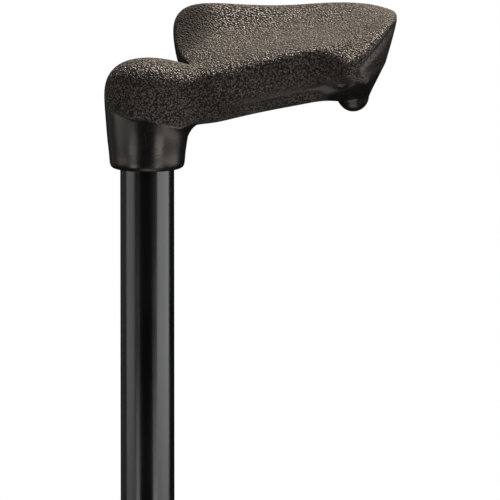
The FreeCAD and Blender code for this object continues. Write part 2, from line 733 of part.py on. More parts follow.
def grip_poles():
    """The skin's control points: the ribs, pushed out around themselves and then along the handle."""
    ribs = collar_ribs() + [elbow_rib(*numbers) for numbers in ELBOW]
    ribs += [[palm_point(*point) for point in rib] for rib in PALM]
    rear = [palm_point(*REAR_POINT)] * RIB_POINTS
    first = ribs[0]
    around = []
    for rib in ribs + [rear]:
        around.append([push_out(rib[i - 1], rib[i], rib[(i + 1) % RIB_POINTS]) for i in range(RIB_POINTS)])
    poles = [first]
    for before, rib, after in zip(around, around[1:], around[2:]):
        poles.append([push_out(*points) for points in zip(before, rib, after)])
    poles.append(rear)
    return poles


def make_grip():
    """Palm grip: the smooth skin with a flat lower face and a nub, bored for the upper tube and its screw."""
    poles = grip_poles()
    degree = 3
    spans = len(poles) - degree
    skin = Part.BSplineSurface()
    skin.buildFromPolesMultsKnots(
        poles,
        [degree + 1] + [1] * (spans - 1) + [degree + 1],
        [1] * (RIB_POINTS + 1),
        list(range(spans + 1)),
        list(range(RIB_POINTS + 1)),
        False, True, degree, degree,
    )
    outside = skin.toShape()
    rim = [edge for edge in outside.Edges if edge.BoundBox.ZMax < 0.01 and edge.Length > 1]
    floor = Part.Face(Part.Wire(rim))
    shell = Part.makeShell([outside, floor])
    shell.sewShape()
    blank = doc.addObject("Part::Feature", "grip_blank")
    blank.Shape = Part.makeSolid(shell)
    blank.Placement = at(z=value("grip_bottom"))
    nub_place = at(x=value("nub_x"), z=value("grip_bottom + nub_z"))
    nub = primitive("Sphere", "grip_nub", nub_place, Radius="nub_d / 2")
    outer = doc.addObject("Part::MultiFuse", "grip_outer")
    outer.Shapes = [blank, nub]

    bore_place = at(z=value("grip_bottom - 1"))
    bore = primitive("Cylinder", "grip_bore", bore_place, Radius="upper_od / 2 + plug_gap", Height="bore_depth + 1")
    screw_place = at(z=value("grip_bottom + screw_height"), rotation=ALONG_Y)
    hole = primitive("Cylinder", "grip_screw_hole", screw_place, Radius="screw_d / 2 + 0.15", Height="collar_od")
    pocket_place = at(y=value("screw_seat"), z=value("grip_bottom + screw_height"), rotation=ALONG_Y)
    pocket = primitive("Cylinder", "grip_screw_pocket", pocket_place, Radius="screw_pocket_d / 2", Height="collar_od")
    openings = doc.addObject("Part::MultiFuse", "grip_openings")
    openings.Shapes = [bore, hole, pocket]
    grip = doc.addObject("Part::Cut", "grip")
    grip.Base = outer
    grip.Tool = openings
    grip.Label = "grip"
    return grip


def make_handle_plug():
    """Nylon plug inside the tube's top end, which the handle screw bites into."""
    radius = "upper_od / 2 - upper_wall - plug_gap"
    bottom = "grip_bottom + plug_bottom"
    top = "grip_bottom + bore_depth - 0.2"
    body = turned("handle_plug", [
        ("0", bottom),
        (radius + " - 0.6", bottom),
        (radius, bottom + " + 1"),
        (radius, top),
        ("0", top),
    ])
    drill(body, "screw_d", "grip_bottom + screw_height", "0", "upper_od")
    return body


def make_handle_screw():
    """Pan-head screw through the back of the collar, with a cross recess."""
    body = turned("handle_screw", [
        ("0", "-screw_length"),
        ("0.4", "-screw_length"),
        ("screw_d / 2 - 0.05", "-screw_length + 2.5"),
        ("screw_d / 2 - 0.05", "0"),
        ("screw_head_d / 2", "0"),
        ("screw_head_d / 2", "screw_head_height"),
        ("0", "screw_head_height"),
    ])
    round_rims(body, "1.2", [("screw_head_d / 2", "screw_head_height")])
    length = 4.4
    width = 0.9
    for long_x, long_y in ((length, width), (width, length)):
        place = at(-long_x / 2, -long_y / 2, value("screw_head_height") - 1.1)
        cut_away(body, "Box", place, Length=str(long_x), Width=str(long_y), Height="2")
    body.Placement = at(y=value("screw_seat"), z=value("grip_bottom + screw_height"), rotation=ALONG_Y)
    bind_place(body, y="screw_seat", z="grip_bottom + screw_height")
    return body


# Build, check, write ------------------------------------------------------------------------------------------

nodes = [
    make_upper_tube(),
    make_lower_tube(),
    make_tube_glide(),
    make_snap_button(),
    make_snap_spring(),
    make_lock_collet(),
    make_clamp_ring(),
    make_lock_nut(),
    make_hub_sleeve(),
    make_hub_end_cap(),
    make_hub_bolt(),
    make_hub_nut(),
    make_grip(),
    make_handle_plug(),
    make_handle_screw(),
]
nodes += make_hub_washers()
nodes += make_feet()
doc.recompute()

for thing in doc.Objects:
    if "Invalid" in thing.State or "Error" in thing.State:
        raise SystemExit("%s did not recompute: %s" % (thing.Label, thing.State))
for node in nodes:
    if node.Shape.isNull() or not node.Shape.isValid():
        raise SystemExit(node.Label + " has no valid shape")

os.makedirs("parts", exist_ok=True)
for node in nodes:
    node.Shape.exportStep("parts/%s.step" % node.Label)
    box = node.Shape.BoundBox
    print("%-24s %9.0f mm3  x %.1f..%.1f  y %.1f..%.1f  z %.1f..%.1f" % (
        node.Label, node.Shape.Volume, box.XMin, box.XMax, box.YMin, box.YMax, box.ZMin, box.ZMax))
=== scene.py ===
"""Looks of the quad walking cane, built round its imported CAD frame.  Metres, in the CAD's own frame."""
import json
import math

import bmesh
import bpy
import numpy as np
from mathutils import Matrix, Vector


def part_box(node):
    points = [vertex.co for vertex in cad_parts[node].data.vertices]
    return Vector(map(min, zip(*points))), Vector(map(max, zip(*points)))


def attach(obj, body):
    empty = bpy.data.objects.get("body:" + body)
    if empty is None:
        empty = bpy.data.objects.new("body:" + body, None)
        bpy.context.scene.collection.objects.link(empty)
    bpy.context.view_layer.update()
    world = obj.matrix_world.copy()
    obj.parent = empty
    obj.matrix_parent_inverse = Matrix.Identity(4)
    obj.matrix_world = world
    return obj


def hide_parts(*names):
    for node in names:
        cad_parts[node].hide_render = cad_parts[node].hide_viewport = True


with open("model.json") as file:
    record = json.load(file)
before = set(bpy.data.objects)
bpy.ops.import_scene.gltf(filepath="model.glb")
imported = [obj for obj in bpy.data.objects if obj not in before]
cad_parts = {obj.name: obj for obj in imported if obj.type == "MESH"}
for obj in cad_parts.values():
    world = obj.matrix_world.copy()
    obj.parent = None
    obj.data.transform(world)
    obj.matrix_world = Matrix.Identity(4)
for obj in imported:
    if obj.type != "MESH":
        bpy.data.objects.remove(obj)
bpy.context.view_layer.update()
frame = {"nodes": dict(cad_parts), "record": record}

MM = 0.001
PLACES = [(end, side) for end in ("front", "rear") for side in ("outer", "inner")]


# Shader graphs ------------------------------------------------------------------------------------

class Graph:
    """A material's node tree, with short ways to add and join nodes."""

    def __init__(self, name, **principled):
        self.material = bpy.data.materials.new(name)
        self.material.use_nodes = True
        self.tree = self.material.node_tree
        self.shader = self.tree.nodes["Principled BSDF"]
        for socket, number in principled.items():
            self.feed(self.shader, socket.replace("_", " "), number)
        self.place = self.add("ShaderNodeTexCoord").outputs["Object"]

    def add(self, kind, **settings):
        node = self.tree.nodes.new(kind)
        for name, setting in settings.items():
            setattr(node, name, setting)
        return node

    def feed(self, node, socket, source):
        """Set an input to a number or colour, or link it to another node's output."""
        target = node.inputs[socket]
        if isinstance(source, bpy.types.NodeSocket):
            self.tree.links.new(source, target)
        else:
            target.default_value = source

    def shade(self, socket, source):
        self.feed(self.shader, socket, source)

    def stretched(self, x, y, z):
        """The object's own coordinates, scaled differently along each axis."""
        mapping = self.add("ShaderNodeMapping")
        self.feed(mapping, "Vector", self.place)
        self.feed(mapping, "Scale", (x, y, z))
        return mapping.outputs["Vector"]

    def noise(self, scale, detail=3.0, roughness=0.5, vector=None, distortion=0.0):
        node = self.add("ShaderNodeTexNoise")
        self.feed(node, "Vector", vector or self.place)
        self.feed(node, "Scale", scale)
        self.feed(node, "Detail", detail)
        self.feed(node, "Roughness", roughness)
        self.feed(node, "Distortion", distortion)
        return node.outputs["Fac"]

    def cells(self, scale, vector=None):
        """The distance from the middles of round cells that lie at random."""
        node = self.add("ShaderNodeTexVoronoi", feature="SMOOTH_F1")
        self.feed(node, "Vector", vector or self.place)
        self.feed(node, "Scale", scale)
        self.feed(node, "Randomness", 1.0)
        self.feed(node, "Smoothness", 0.35)
        return node.outputs["Distance"]

    def bent(self, amount, scale):
        """The object's coordinates, pushed about by a noise so that a pattern laid on them isn't regular."""
        node = self.add("ShaderNodeTexNoise")
        self.feed(node, "Vector", self.place)
        self.feed(node, "Scale", scale)
        middle = self.add("ShaderNodeVectorMath", operation="SUBTRACT")
        self.feed(middle, 0, node.outputs["Color"])
        self.feed(middle, 1, (0.5, 0.5, 0.5))
        sized = self.add("ShaderNodeVectorMath", operation="SCALE")
        self.feed(sized, 0, middle.outputs[0])
        self.feed(sized, "Scale", amount)
        moved = self.add("ShaderNodeVectorMath", operation="ADD")
        self.feed(moved, 0, self.place)
        self.feed(moved, 1, sized.outputs[0])
        return moved.outputs[0]

    def range(self, source, low, high, to_low=0.0, to_high=1.0):
        """The source's stretch from low to high, laid smoothly on the stretch from to_low to to_high."""
        node = self.add("ShaderNodeMapRange", interpolation_type="SMOOTHSTEP")
        self.feed(node, "Value", source)
        self.feed(node, "From Min", low)
        self.feed(node, "From Max", high)
        self.feed(node, "To Min", to_low)
        self.feed(node, "To Max", to_high)
        return node.outputs["Result"]

    def maths(self, operation, first, second):
        node = self.add("ShaderNodeMath", operation=operation)
        self.feed(node, 0, first)
        self.feed(node, 1, second)
        return node.outputs[0]

    def mix(self, factor, first, second):
        node = self.add("ShaderNodeMix", data_type="RGBA")
        self.feed(node, 0, factor)
        self.feed(node, 6, first)
        self.feed(node, 7, second)
        return node.outputs[2]

    def between(self, factor, first, second):
        """A number that goes from first to second with the factor."""
        node = self.add("ShaderNodeMix", data_type="FLOAT")
        self.feed(node, 0, factor)
        self.feed(node, 2, first)
        self.feed(node, 3, second)
        return node.outputs[0]

    def attribute(self, name):
        return self.add("ShaderNodeAttribute", attribute_name=name).outputs["Fac"]

    def bump(self, height, distance, strength=1.0, over=None):
        node = self.add("ShaderNodeBump")
        self.feed(node, "Height", height)
        self.feed(node, "Distance", distance)
        self.feed(node, "Strength", strength)
        if over is not None:
            self.feed(node, "Normal", over)
        return node.outputs["Normal"]


def colour(red, green, blue):
    return (red, green, blue, 1.0)


def scratches(graph, density, vector):
    """Sparse fine lines, 1 on a line and 0 off it."""
    warped = graph.noise(density, detail=2.0, vector=vector, distortion=0.6)
    line = graph.maths("ABSOLUTE", graph.maths("SUBTRACT", warped, 0.5), 0.0)
    return graph.range(line, 0.0, 0.006, 1.0, 0.0)


# The leather grain: cells in a metre, how far they are pushed about and the height of the relief, in metres.
PEBBLES = 1050.0
SMALL_PEBBLES = 2100.0
PEBBLE_SHIFT = 0.0009
GRAIN_DEPTH = 0.0011


def grip_material():
    """Charcoal moulded handle: pebbled leather grain where the attribute says so, semi-gloss elsewhere; the
    grain carries painted highlight on the pebble tops and painted shade in their hollows.
    """
    g = Graph("grip_mould", IOR=1.5, Specular_Tint=(1.0, 0.9, 0.8, 1.0))
    grain = g.attribute("grain")
    bent = g.bent(PEBBLE_SHIFT, 600.0)
    pebble = g.cells(PEBBLES, bent)
    small = g.cells(SMALL_PEBBLES, bent)
    mixed = g.maths("ADD", pebble, g.maths("MULTIPLY", small, 0.35))
    tops = g.range(mixed, 0.42, 0.80, 1.0, 0.0)
    waves = g.range(g.noise(55.0, detail=2.0), 0.3, 0.7)
    # Painted highlight and shade: the pebbles' tops are lighter and warmer in colour, with random waves of
    # tone, and their hollows near-black.
    crown_painted_highlight = g.mix(waves, colour(0.052, 0.042, 0.033), colour(0.084, 0.068, 0.054))
    dull_and_painted_shade = g.attribute("dull_and_painted_shade")
    # Painted shade: the dull corner of the wing is darkened in colour, besides being rougher.
    crown = g.mix(dull_and_painted_shade, crown_painted_highlight, colour(0.008, 0.006, 0.005))
    grained = g.mix(tops, colour(0.001, 0.0008, 0.0007), crown)
    g.shade("Base Color", g.mix(grain, colour(0.0055, 0.0045, 0.0043), grained))
    lines = scratches(g, 60.0, g.stretched(1.0, 1.0, 2.6))
    worn = g.maths("ADD", g.noise(90.0, detail=4.0), g.maths("MULTIPLY", lines, 0.4))
    polished = g.range(worn, 0.3, 0.9, 0.26, 0.36)
    leathery = g.range(tops, 0.0, 1.0, 0.85, g.range(dull_and_painted_shade, 0.0, 1.0, 0.34, 0.85))
    g.shade("Roughness", g.between(grain, polished, leathery))
    scuffed = g.bump(lines, 0.00003, 0.5)
    height = g.maths("MULTIPLY", g.maths("MULTIPLY", mixed, -1.0), grain)
    g.shade("Normal", g.bump(height, GRAIN_DEPTH, 1.0, over=scuffed))
    return g.material


def shaft_material():
    """Black anodised tube: deep black, semi-gloss, with faint drawing lines along it."""
    g = Graph("shaft_anodised", IOR=1.6)
    drawn = g.noise(1.0, detail=3.0, vector=g.stretched(1500.0, 1500.0, 9.0))
    cloud = g.noise(24.0, detail=4.0)
    deep = colour(0.0022, 0.0022, 0.0022)
    faded = colour(0.0035, 0.0035, 0.004)
    g.shade("Base Color", g.mix(g.range(cloud, 0.3, 0.7), deep, faded))
    g.shade("Roughness", g.range(g.maths("ADD", drawn, cloud), 0.7, 1.3, 0.17, 0.24))
    g.shade("Normal", g.bump(drawn, 0.000015, 0.5))
    return g.material


def inner_tube_material():
    """Clear anodised aluminium, satin, with drawing lines along the tube."""
    g = Graph("inner_aluminium", Metallic=1.0)
    drawn = g.noise(1.0, detail=4.0, vector=g.stretched(1900.0, 1900.0, 14.0))
    rubbed = g.noise(40.0, detail=5.0, roughness=0.6)
    g.shade("Base Color", g.mix(rubbed, colour(0.50, 0.51, 0.52), colour(0.62, 0.63, 0.64)))
    g.shade("Roughness", g.range(g.maths("ADD", drawn, rubbed), 0.7, 1.3, 0.26, 0.38))
    g.shade("Normal", g.bump(drawn, 0.00002, 0.6))
    return g.material


def plastic_material(name, dark, light, low, high):
    """Moulded nylon: an even colour with a slight cloud and a fine spark-eroded texture."""
    g = Graph(name, IOR=1.5)
    cloud = g.noise(70.0, detail=3.0)
    spark = g.cells(2200.0)
    g.shade("Base Color", g.mix(g.range(cloud, 0.3, 0.7), colour(*dark), colour(*light)))
    g.shade("Roughness", g.range(g.noise(500.0), 0.3, 0.7, low, high))
    g.shade("Normal", g.bump(spark, 0.00008, 0.5))
    return g.material


def powder_coat_material():
    """Black powder coat with fine orange peel and a few scuffs."""
    g = Graph("base_powder_coat", IOR=1.5)
    peel = g.noise(900.0, detail=1.5, roughness=0.4)
    cloud = g.noise(30.0, detail=3.0)
    scuff = scratches(g, 42.0, g.place)
    coat = g.mix(cloud, colour(0.010, 0.010, 0.010), colour(0.017, 0.017, 0.018))
    g.shade("Base Color", g.mix(g.maths("MULTIPLY", scuff, 0.5), coat, colour(0.05, 0.05, 0.05)))
    g.shade("Roughness", g.range(g.maths("ADD", cloud, scuff), 0.3, 1.2, 0.27, 0.45))
    g.shade("Normal", g.bump(peel, 0.00012, 0.55))
    return g.material


def metal_material(name, dark, light, low, high, along):
    """Plated or bare steel with a fine directional finish."""
    g = Graph(name, Metallic=1.0)
    lines = g.noise(1.0, detail=4.0, vector=g.stretched(*along))
    cloud = g.noise(160.0, detail=4.0, roughness=0.6)
    g.shade("Base Color", g.mix(cloud, colour(*dark), colour(*light)))
    g.shade("Roughness", g.range(g.maths("ADD", lines, cloud), 0.7, 1.3, low, high))
    g.shade("Normal", g.bump(lines, 0.00002, 0.6))
    return g.material


def rubber_material():
    """Black rubber, a little grey with dust near the floor, with a moulded texture."""
    g = Graph("tip_rubber", IOR=1.5)
    split = g.add("ShaderNodeSeparateXYZ")
    g.feed(split, 0, g.place)
    cloud = g.noise(120.0, detail=5.0, roughness=0.65)
    uneven = g.maths("ADD", split.outputs["Z"], g.maths("MULTIPLY", cloud, 0.008))
    low = g.range(uneven, 0.003, 0.016, 1.0, 0.0)
    clean = g.mix(cloud, colour(0.018, 0.018, 0.018), colour(0.028, 0.028, 0.029))
    dusty = g.mix(cloud, colour(0.045, 0.043, 0.040), colour(0.075, 0.071, 0.066))
    g.shade("Base Color", g.mix(g.maths("MULTIPLY", low, 0.7), clean, dusty))
    g.shade("Roughness", g.range(cloud, 0.3, 0.7, 0.55, 0.72))
    g.shade("Normal", g.bump(g.noise(1600.0, detail=3.0), 0.0001, 0.6))
    return g.material


MATERIALS = {
    "grip_mould": grip_material(),
    "shaft_tube": shaft_material(),
    "inner_tube": inner_tube_material(),
    "nylon_natural": plastic_material("nylon_natural", (0.62, 0.60, 0.54), (0.70, 0.68, 0.62), 0.35, 0.5),
    "nylon_black": plastic_material("nylon_black", (0.016, 0.016, 0.017), (0.024, 0.024, 0.025), 0.34, 0.48),
    "button_steel": metal_material(
        "button_steel", (0.6, 0.59, 0.57), (0.72, 0.71, 0.69), 0.14, 0.26, (900, 900, 900)),
    "spring_steel": metal_material(
        "spring_steel", (0.3, 0.3, 0.31), (0.42, 0.42, 0.43), 0.25, 0.4, (1500, 60, 60)),
    "base_steel": powder_coat_material(),
    "zinc_steel": metal_material(
        "zinc_steel", (0.5, 0.51, 0.53), (0.66, 0.66, 0.66), 0.22, 0.4, (700, 120, 700)),
    "tip_rubber": rubber_material(),
}


def dress_frame():
    """Give each kept CAD node the material of its slot."""
    for part in frame["record"]["subparts"]:
        for place in frame["nodes"][part["node"]].material_slots:
            place.material = MATERIALS[part["material_slot"]]


def dress_piece(piece, slot, body, replaced=()):
    """Give a piece its material and slot, and let it ride on its body."""
    piece.data.materials.clear()
    piece.data.materials.append(MATERIALS[slot])
    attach(piece, body)
    if replaced:
        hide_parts(*replaced)


def mesh_of(name, points, faces, smooth=True):
    mesh = bpy.data.meshes.new(name)
    mesh.from_pydata([tuple(map(float, p)) for p in points], [], faces)
    mesh.validate()
    mesh.update()
    if smooth:
        mesh.shade_smooth()
    else:
        mesh.shade_flat()
    return mesh


def grid_faces(rows, columns):
    """Quads of a tube-like grid whose rows are closed rings of points."""
    faces = []
    for row in range(rows - 1):
        for column in range(columns):
            after = (column + 1) % columns
            a = row * columns + column
            b = row * columns + after
            faces.append((a, b, b + columns, a + columns))
    return faces


# Grip ---------------------------------------------------------------------------------------------
# The skin follows the same ribs as the CAD grip. Its numbers are millimetres, from the point where the
# shaft's axis meets the plane of the collar's lower edge.

RIB_POINTS = 12
COLLAR_RADIUS = 18.0
# Height and inset of the ribs that round the collar's lower edge.
COLLAR_EDGE = [(0, 2.5), (0.5, 1.2), (2.4, 0.3), (7, 0)]
ELBOW_CENTRE = (25.5, 13.5)
# Angle from level, inner distance, outer distance, half width.
ELBOW = [
    (0, 6.5, 44.3, 18.8),
    (15, 6.4, 46.7, 19.4),
    (30, 6.3, 52.5, 19.6),
    (42, 6.4, 52.8, 19.2),
    (54, 6.7, 47.7, 18.4),
    (68, 7.0, 40.8, 17.0),
    (82, 7.3, 35.5, 15.6),
]
# Each line is a rib: underside, underside edge, lower finger side, finger side, ridge, palm near the ridge;
# then palm middle, palm rest, its edge, the edge's back, its underside, lower back.
PALM = [
    [(32, 0, 22.2), (32, -9, 23.5), (31, -14.5, 29), (30, -16.5, 37), (28, -13.5, 46), (26, -4, 49),
     (21.5, 8, 50.5), (13.5, 20, 52.5), (12.1, 31, 58.5), (12, 36, 51), (16, 28, 41), (28, 12, 29)],
    [(43, 0, 24.6), (43, -10, 26.5), (42.5, -16, 32), (42, -18, 39.5), (41, -15.5, 46.5), (38, -7.5, 51.8),
     (31, 12, 55), (24, 30, 60), (18, 41, 72), (19, 45, 66), (28, 33, 49), (41, 14, 31)],
    [(56, 0, 27.5), (56, -10, 29.5), (56, -15.5, 35.5), (56, -17.5, 42.5), (55.5, -15.5, 49.8), (54, -9, 55),
     (49, 15, 58.5), (44, 35, 62.2), (41, 46, 71.9), (41, 50, 67.5), (47, 38, 54), (55, 15, 34.5)],
    [(70, 0, 30.2), (70, -9.5, 31.7), (70, -14.8, 37.3), (70, -16.3, 44.8), (70, -15, 52.3),
     (70, -10.5, 57.8), (68, 16, 61), (66, 35, 65), (64, 47, 71.2), (64, 50.5, 67.5), (66, 38, 56.5),
     (70, 14, 36.5)],
    [(82.5, 0, 32.4), (82.5, -9, 34), (82, -13.8, 39), (82, -15.5, 46.5), (81.5, -13, 54.3), (83, -8, 59.8),
     (84, 16, 63.4), (85, 34, 67.6), (86, 47, 72.8), (86, 50, 69.5), (84, 37, 59.5), (83, 13, 38.5)],
    [(90, 0, 32.2), (90.5, -8.5, 33.5), (91, -15.5, 38.5), (90.5, -20, 46), (90, -19.5, 53), (94, -9, 60.3),
     (100, 12, 65.6), (103, 30, 69.6), (104, 43, 72.4), (104, 46, 70), (101, 33, 61), (95, 12, 39.5)],
    [(97.5, 0, 33), (97.5, -9.5, 34.5), (96.5, -19, 41), (93, -23.8, 46.6), (95.5, -23.5, 53.5),
     (104, -11, 62.3), (111, 8, 69), (114.8, 24, 71), (111, 37, 71.3), (110, 39, 69.5), (109, 29, 62),
     (102.5, 11, 38.5)],
    [(103.4, 0, 34.8), (105, -9, 37.5), (102.5, -17, 42.5), (97, -22.5, 46.8), (99, -22, 53.3),
     (107.5, -10, 61.8), (114.9, 8, 68.3), (117.2, 22, 69.8), (114.3, 35, 70), (113.5, 37, 68),
     (113.3, 27, 60), (107.5, 10, 40)],
    [(106.2, 0, 38.5), (107, -5, 42), (106, -11, 45), (105, -14.5, 48.5), (107.2, -14, 53),
     (111.8, -5, 58.6), (115.7, 7, 63.5), (117.1, 17, 65.3), (115.9, 27, 65), (115.3, 27, 61.5),
     (113.5, 20, 54.5), (109.3, 8, 44)],
]
REAR_POINT = (112, 3, 49.5)


def oval_rib(centre, along, half_reach, half_width):
    """A rib: half_reach along a direction in the XZ plane, half_width along Y."""
    angle = 2 * np.pi * np.arange(RIB_POINTS) / RIB_POINTS
    rib = np.zeros((RIB_POINTS, 3))
    rib[:, 0] = centre[0] + along[0] * half_reach * np.cos(angle)
    rib[:, 1] = -half_width * np.sin(angle)
    rib[:, 2] = centre[1] + along[1] * half_reach * np.cos(angle)
    return rib


def grip_ribs():
    """The collar's ribs, the elbow's, the palm's, and the rear point."""
    ribs = []
    for height, inset in COLLAR_EDGE:
        radius = COLLAR_RADIUS - inset
        ribs.append(oval_rib((0, height), (1, 0), radius, radius))
    for degrees, inner, outer, half_width in ELBOW:
        outward = np.array((-math.cos(math.radians(degrees)), math.sin(math.radians(degrees))))
        centre = np.array(ELBOW_CENTRE) + outward * (inner + outer) / 2
        ribs.append(oval_rib(centre, -outward, (outer - inner) / 2, half_width))
    ribs += [np.array(rib, float) for rib in PALM]
    ribs.append(np.array([REAR_POINT] * RIB_POINTS, float))
    return np.array(ribs)


def grip_poles():
    """Control points: the ribs, pushed out around themselves and then along the handle."""
    ribs = grip_ribs()
    around = ribs + (2 * ribs - np.roll(ribs, 1, axis=1) - np.roll(ribs, -1, axis=1)) / 6
    poles = around.copy()
    poles[1:-1] += (2 * around[1:-1] - around[:-2] - around[2:]) / 6
    poles[0] = ribs[0]
    poles[-1] = ribs[-1]
    return poles


def clamped_weights(count, samples):
    """Cubic B-spline weights along an open row of control points, one line per sample."""
    degree = 3
    last = count - degree
    knots = np.concatenate([np.zeros(degree), np.arange(last + 1), np.full(degree, last)])
    at = np.clip(samples, 0, last - 1e-9)
    weights = ((at[:, None] >= knots[:-1]) & (at[:, None] < knots[1:])).astype(float)
    for order in range(1, degree + 1):
        raised = np.zeros((len(at), len(knots) - 1 - order))
        for i in range(raised.shape[1]):
            rise = knots[i + order] - knots[i]
            fall = knots[i + order + 1] - knots[i + 1]
            if rise:
                raised[:, i] += (at - knots[i]) / rise * weights[:, i]
            if fall:
                raised[:, i] += (knots[i + order + 1] - at) / fall * weights[:, i + 1]
        weights = raised
    return weights


def ring_weights(count, samples):
    """Cubic B-spline weights round a closed ring of control points; sample k lies near point k."""
    weights = np.zeros((len(samples), count))
    whole = np.floor(samples).astype(int)
    part = samples - whole
    for offset, weight in (
        (-1, (1 - part) ** 3 / 6),
        (0, (3 * part ** 3 - 6 * part ** 2 + 4) / 6),
        (1, (-3 * part ** 3 + 3 * part ** 2 + 3 * part + 1) / 6),
        (2, part ** 3 / 6),
    ):
        np.add.at(weights, (np.arange(len(samples)), (whole + offset) % count), weight)
    return weights


# Where the leather grain ends, as (distance along the handle, height): over the upper edge it is full, under
# the lower edge it is full again, and between them lies the smooth band of the parting seam.
GRAIN_UPPER_EDGE = [(-20, 29), (0, 25), (15, 21.5), (30, 23), (45, 34), (75, 43), (120, 46)]
GRAIN_LOWER_EDGE = [(20, 20), (30, 26), (45, 31), (75, 37.5)]
# Height over which the grain fades at its upper edge, and at its lower one.
GRAIN_UPPER_FADE = [(15, 2.0), (40, 8.0)]
GRAIN_LOWER_FADE = 4.0
# Where the lower grain starts and stops along the handle, with the length of each fade.
LOWER_GRAIN_START = (20, 5.0)
LOWER_GRAIN_STOP = (86, 6.0)
# The rib where the grain ends, its fade, and what is left of it on the end face.
END_OF_GRAIN = 17.25
END_FADE = 0.2
END_GRAIN = 0.25
# The dull corner of the wing, rougher and with painted shade darkening its colour: it starts this far across
# and stops this far along, each with its fade.
DULL_SHADE_ACROSS = (10, 14.0)
DULL_SHADE_ALONG = (18, 22.0)


def smooth_step(share):
    return share * share * (3 - 2 * share)


def at_marks(along, marks):
    """The value between marks given as (distance along, value)."""
    places, values = zip(*marks)
    return np.interp(along, places, values)


def grain_amount(points, rib):
    """1 where the grain is full, 0 on the collar, the seam's band and the nub, and little at the end."""
    along, across, height = points.T
    ripple = 0.5 * np.sin(along * 0.31 + 1.0) + 0.4 * np.sin(across * 0.43 + along * 0.17)
    above = height - at_marks(along, GRAIN_UPPER_EDGE) - ripple
    upper = np.clip(above / at_marks(along, GRAIN_UPPER_FADE) + 0.5, 0, 1)
    lower = np.clip((at_marks(along, GRAIN_LOWER_EDGE) - height) / GRAIN_LOWER_FADE + 0.5, 0, 1)
    lower = lower * np.clip((along - LOWER_GRAIN_START[0]) / LOWER_GRAIN_START[1], 0, 1)
    lower = lower * np.clip((LOWER_GRAIN_STOP[0] - along) / LOWER_GRAIN_STOP[1], 0, 1)
    end = END_GRAIN + (1 - END_GRAIN) * np.clip((END_OF_GRAIN - rib) / END_FADE, 0, 1)
    return smooth_step(np.maximum(upper, lower)) * end


def dull_and_shade_amount(points):
    """1 on the corner of the wing beside the elbow's dome, which is rougher and darkened with painted shade,
    and 0 on the rest.
    """
    far_side = smooth_step(np.clip((points[:, 1] - DULL_SHADE_ACROSS[0]) / DULL_SHADE_ACROSS[1], 0, 1))
    rest = smooth_step(np.clip((points[:, 0] - DULL_SHADE_ALONG[0]) / DULL_SHADE_ALONG[1], 0, 1))
    return far_side * (1 - rest)


# Places on the skin are given as (rib, rail): ribs count along the handle, rails round it, and whole numbers
# lie near the ribs and rail points above.
FIRST_PALM_RIB = 10
LIP = [(4.4, 2.75), (5.2, 2.8), (6.0, 3.0), (6.6, 3.35), (6.95, 4.0), (7.05, 5.0), (7.05, 6.0), (7.0, 7.0)]
GROOVE = [(4.4, 2.45), (5.2, 2.45), (6.0, 2.6), (6.8, 2.9), (7.3, 3.6), (7.4, 4.5), (7.4, 5.5), (7.35, 6.6)]
SEAM = [(-6.5, 3.0), (-5.0, 2.95), (-3.0, 2.8), (-1.0, 2.6), (1.0, 2.5), (3.0, 2.45), (4.6, 2.4)]
LIP_HEIGHT = 0.55
LIP_WIDTH = 1.7
GROOVE_DEPTH = 1.1
GROOVE_WIDTH = 1.8
SEAM_HEIGHT = 0.12
SEAM_WIDTH = 0.35
# Share of a path's length over which its relief fades at each end.
PATH_FADE = 0.12
# The largest x of the skin. The lip is cut off there, so that it stays inside the CAD grip's reach.
END_REACH = 117.4
# The heel nub under the end of the handle: a ball that melts into the underside, a little larger than the
# CAD's ball.
NUB_CENTRE = (96.8, 0.0, 34.2)
NUB_RADIUS = 7.4
NUB_BLEND = 3.0
# Skin higher than this above the nub's centre is left as it is.
NUB_ABOVE = 8.0
# Rise of the ball's surface for each millimetre outside it, which keeps it clear of the skin there.
NUB_OUTSIDE_SLOPE = 3.0
# Bore for the shaft and pocket for the handle screw.
BORE_RADIUS = 12.75
BORE_DEPTH = 36.2
BORE_CHAMFER = 0.4
SCREW_HEIGHT = 14.0
SCREW_SEAT = 15.2
POCKET_RADIUS = 4.3
# The mesh: points round the handle, and stretches of ribs with their number of rows.
COLUMNS = 200
COLLAR_AND_ELBOW_ROWS = (0, 10, 130)
PALM_ROWS = (10, 15, 80)
END_ROWS = 110
SHARP_ANGLE = math.radians(50)


def skin_points(poles, rows, columns):
    """The grid of skin points at every row and column."""
    along = clamped_weights(len(poles), rows)
    around = ring_weights(RIB_POINTS, columns)
    return np.einsum("ur,rsk,vs->uvk", along, poles, around)


def path_on_skin(poles, marks, samples=60):
    """A fine polyline on the skin, through marks given as (rib, rail)."""
    marks = np.array(marks)
    step = np.linspace(0, len(marks) - 1, samples)
    rib = np.interp(step, np.arange(len(marks)), marks[:, 0]) + FIRST_PALM_RIB
    rail = np.interp(step, np.arange(len(marks)), marks[:, 1])
    weights = clamped_weights(len(poles), rib)
    around = ring_weights(RIB_POINTS, rail)
    return np.einsum("pr,rsk,ps->pk", weights, poles, around)


def nearness(points, path, width):
    """A bell curve of each point's distance from a path, fading out at the path's ends."""
    best = np.full(len(points), np.inf)
    share = np.zeros(len(points))
    for i in range(len(path) - 1):
        run = path[i + 1] - path[i]
        along = np.clip((points - path[i]) @ run / (run @ run), 0, 1)
        gap = np.linalg.norm(points - path[i] - along[:, None] * run, axis=1)
        nearer = gap < best
        best[nearer] = gap[nearer]
        share[nearer] = ((i + along) / (len(path) - 1))[nearer]
    fade = np.clip(np.minimum(share, 1 - share) / PATH_FADE, 0, 1)
    return np.exp(-(best / width) ** 2) * fade


